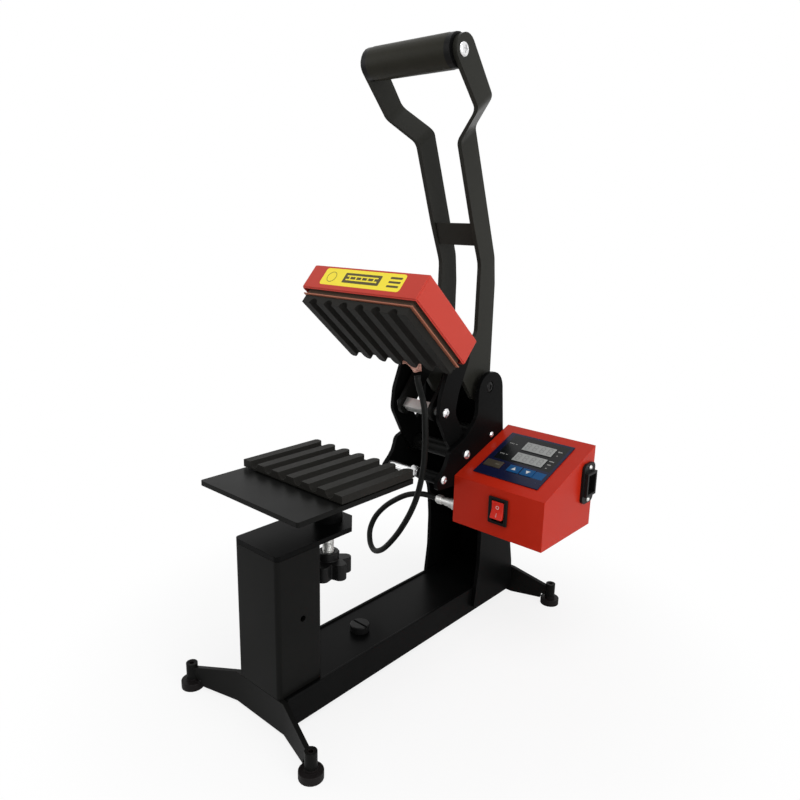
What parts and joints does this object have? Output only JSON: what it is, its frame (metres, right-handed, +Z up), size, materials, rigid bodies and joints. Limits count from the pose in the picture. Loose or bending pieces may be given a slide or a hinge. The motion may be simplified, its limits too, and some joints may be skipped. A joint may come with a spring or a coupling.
{
  "type": "pen heat press",
  "caption": "Clamshell heat press for pens: grooved upper and lower moulds, long fork handle with toggle links, screw-lifted bed and a side control box.",
  "frame": {"origin": "centre of the footprint's bounding box, on the floor", "axes": "+Z up, +X to the machine's right where the control box hangs, +Y to the back; the moulds open towards -Y"},
  "size_m": [0.2554, 0.4106, 0.6134],
  "materials": {
    "black_coat": "satin black powder coat",
    "red_coat": "satin red powder coat",
    "mould_coat": "matt dark grey fine-textured coat",
    "zinc": "bright zinc plate",
    "chrome": "polished",
    "black_plastic": "matt",
    "rubber": "matt",
    "lead_sleeve": "matt sleeve",
    "heater": "orange-pink heating mat",
    "insulation": "dark brown fibre board",
    "spacer": "pale heat-proof sheet",
    "film": "dark blue printed film",
    "window": "grey display window",
    "brown_key": "domed key",
    "blue_key": "domed key",
    "red_switch": "glossy red"
  },
  "bodies": {
    "machine_frame": {"base_channel": "black_coat", "base_plug": "black_plastic", "front_foot_bar": "black_coat", "rear_foot_bar": "black_coat", "front_post": "black_coat", "post_cap_plate": "black_coat", "frame_plate_left": "black_coat", "frame_plate_right": "black_coat", "tie_spacer": "black_coat", "tie_bolt": "chrome", "nose_sleeve": "black_coat", "nose_bolt": "chrome", "arm_shaft": "chrome", "handle_shaft": "black_coat", "control_box_shell": "red_coat", "control_box_base": "red_coat", "panel_overlay": "film", "upper_display": "window", "lower_display": "window", "switch_bezel": "black_plastic", "mains_inlet": "black_plastic", "inlet_screw_upper": "zinc", "inlet_screw_lower": "zinc", "lead_socket": "zinc", "lead_plug": "zinc", "heater_lead": "lead_sleeve", "box_mount_strip": "zinc", "frame_back_plate": "black_coat"},
    "bed": {"bed_plate": "black_coat", "mould_spacer": "spacer", "lower_mould": "mould_coat", "bed_screw_left": "zinc", "bed_screw_right": "zinc"},
    "lift_knob": {"lift_screw": "zinc", "star_knob": "black_plastic"},
    "arm": {"arm_plate_left": "black_coat", "arm_plate_right": "black_coat", "arm_bush": "black_coat", "link_bar": "zinc", "platen_bracket": "black_coat", "platen_cover": "red_coat", "insulation_block": "insulation", "heater_pad": "heater", "upper_mould": "mould_coat"},
    "links": {"link_left": "black_coat", "link_right": "black_coat"},
    "handle": {"handle_arm_left": "black_coat", "handle_arm_right": "black_coat", "handle_cross_plate": "black_coat", "grip_sleeve": "rubber", "grip_rod": "zinc", "crank_pin": "zinc"},
    "power_switch": {"power_rocker": "red_switch"},
    "set_button": {"set_key": "brown_key"},
    "up_button": {"up_key": "blue_key"},
    "down_button": {"down_key": "blue_key"},
    "foot_front_left": {"levelling_foot_front_left": "rubber"},
    "foot_front_right": {"levelling_foot_front_right": "rubber"},
    "foot_rear_left": {"levelling_foot_rear_left": "rubber"},
    "foot_rear_right": {"levelling_foot_rear_right": "rubber"}
  },
  "joints": [
    {"name": "arm_pivot", "type": "hinge", "parent": "machine_frame", "child": "arm", "pos_m": [-0.0287, 0.07205, 0.209], "axis": [1, 0, 0], "range_deg": [0, 42], "deforming": ["heater_lead"]},
    {"name": "handle_pivot", "type": "hinge", "parent": "machine_frame", "child": "handle", "pos_m": [-0.0287, 0.11005, 0.278], "axis": [1, 0, 0], "range_deg": [0, 62.1]},
    {"name": "link_pivot", "type": "hinge", "parent": "arm", "child": "links", "pos_m": [-0.0287, 0.03954, 0.26047], "axis": [1, 0, 0], "range_deg": [-52.2, 0]},
    {"name": "knob_spin", "type": "hinge", "parent": "bed", "child": "lift_knob", "pos_m": [-0.0287, -0.09345, 0.1693], "axis": [0, 0, 1], "range_deg": [-830, 2025]},
    {"name": "bed_lift", "type": "slide", "parent": "machine_frame", "child": "bed", "axis": [0, 0, 1], "range_m": [-0.004, 0.0098]},
    {"name": "rocker_pivot", "type": "hinge", "parent": "machine_frame", "child": "power_switch", "pos_m": [0.0688, 0.05655, 0.167], "axis": [1, 0, 0], "range_deg": [0, 20]},
    {"name": "set_press", "type": "slide", "parent": "machine_frame", "child": "set_button", "axis": [0, 0.3459, -0.9383], "range_m": [0, 0.0004], "stiffness_N_per_m": 400, "springref_m": -0.0001},
    {"name": "up_press", "type": "slide", "parent": "machine_frame", "child": "up_button", "axis": [0, 0.3459, -0.9383], "range_m": [0, 0.0004], "stiffness_N_per_m": 400, "springref_m": -0.0001},
    {"name": "down_press", "type": "slide", "parent": "machine_frame", "child": "down_button", "axis": [0, 0.3459, -0.9383], "range_m": [0, 0.0004], "stiffness_N_per_m": 400, "springref_m": -0.0001},
    {"name": "level_front_left", "type": "hinge", "parent": "machine_frame", "child": "foot_front_left", "pos_m": [-0.1167, -0.19435, 0], "axis": [0, 0, 1], "continuous": true},
    {"name": "level_front_right", "type": "hinge", "parent": "machine_frame", "child": "foot_front_right", "pos_m": [0.0593, -0.19435, 0], "axis": [0, 0, 1], "continuous": true},
    {"name": "level_rear_left", "type": "hinge", "parent": "machine_frame", "child": "foot_rear_left", "pos_m": [-0.1159, 0.19435, 0], "axis": [0, 0, 1], "continuous": true},
    {"name": "level_rear_right", "type": "hinge", "parent": "machine_frame", "child": "foot_rear_right", "pos_m": [0.0585, 0.19435, 0], "axis": [0, 0, 1], "continuous": true}
  ],
  "couplings": [
    {"joint": "handle_pivot", "follows": "arm_pivot", "ratio": 1.4762},
    {"joint": "link_pivot", "follows": "arm_pivot", "ratio": -1.2405},
    {"joint": "knob_spin", "follows": "bed_lift", "rad_per_m": 3590.4}
  ]
}
